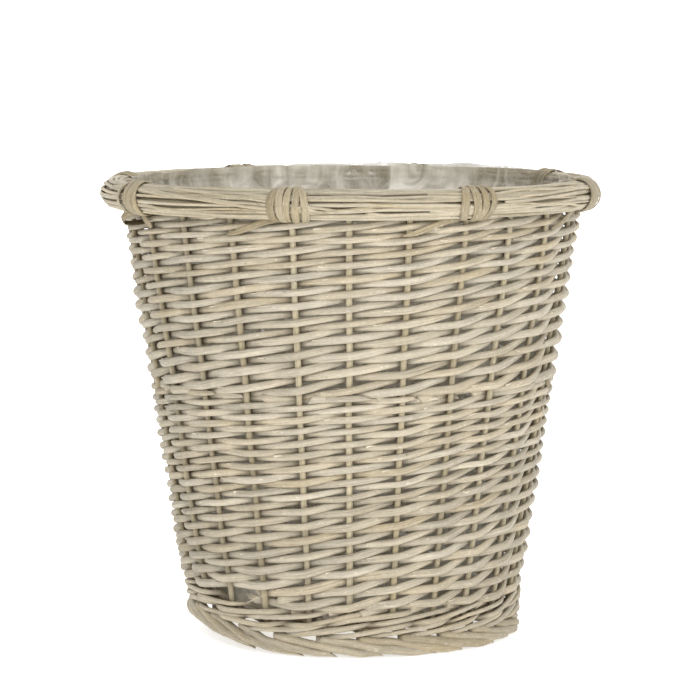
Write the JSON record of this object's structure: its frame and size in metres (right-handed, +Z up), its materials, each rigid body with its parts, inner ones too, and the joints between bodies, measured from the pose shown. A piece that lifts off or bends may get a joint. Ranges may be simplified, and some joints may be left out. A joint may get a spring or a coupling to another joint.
{
  "type": "wicker log basket",
  "caption": "Round tapered willow basket with a randed wall, a thick bundled rim bound with skein, a low foot ring and a clear film liner.",
  "frame": {"origin": "centre of the foot ring on the floor", "axes": "+Z up out of the mouth, -Y towards the front as shown, +X to the right"},
  "size_m": [0.4492, 0.4492, 0.4165],
  "materials": {
    "willow_sticks": "peeled willow, dry, matte",
    "willow_base": "peeled willow, dry, matte",
    "willow_stakes": "peeled willow, grey washed, matte",
    "willow_foot": "peeled willow, grey washed, matte, rubbed at the base",
    "willow_wale": "peeled willow, grey washed, matte",
    "willow_lower": "peeled willow, grey washed, matte, tone varies from rod to rod",
    "willow_upper": "peeled willow, grey washed, matte, tone varies from rod to rod",
    "willow_rim": "peeled willow, grey washed, slight sheen",
    "willow_skein": "split willow skein, slight sheen",
    "clear_film": "thin clear plastic film, crumpled, slightly milky"
  },
  "bodies": {
    "root": {"base_sticks_slit": "willow_sticks", "base_sticks_threaded": "willow_sticks", "base_weave": "willow_base", "side_stakes": "willow_stakes", "foot_border": "willow_foot", "upsett_wale": "willow_wale", "lower_rand": "willow_lower", "upper_rand": "willow_upper", "rim_core_rods": "willow_rim", "rim_outer_rods": "willow_rim", "rim_binding_1": "willow_skein", "rim_binding_2": "willow_skein", "rim_binding_3": "willow_skein", "rim_binding_4": "willow_skein", "rim_binding_5": "willow_skein", "rim_binding_6": "willow_skein", "rim_binding_7": "willow_skein", "rim_binding_8": "willow_skein", "film_liner": "clear_film"}
  },
  "joints": []
}
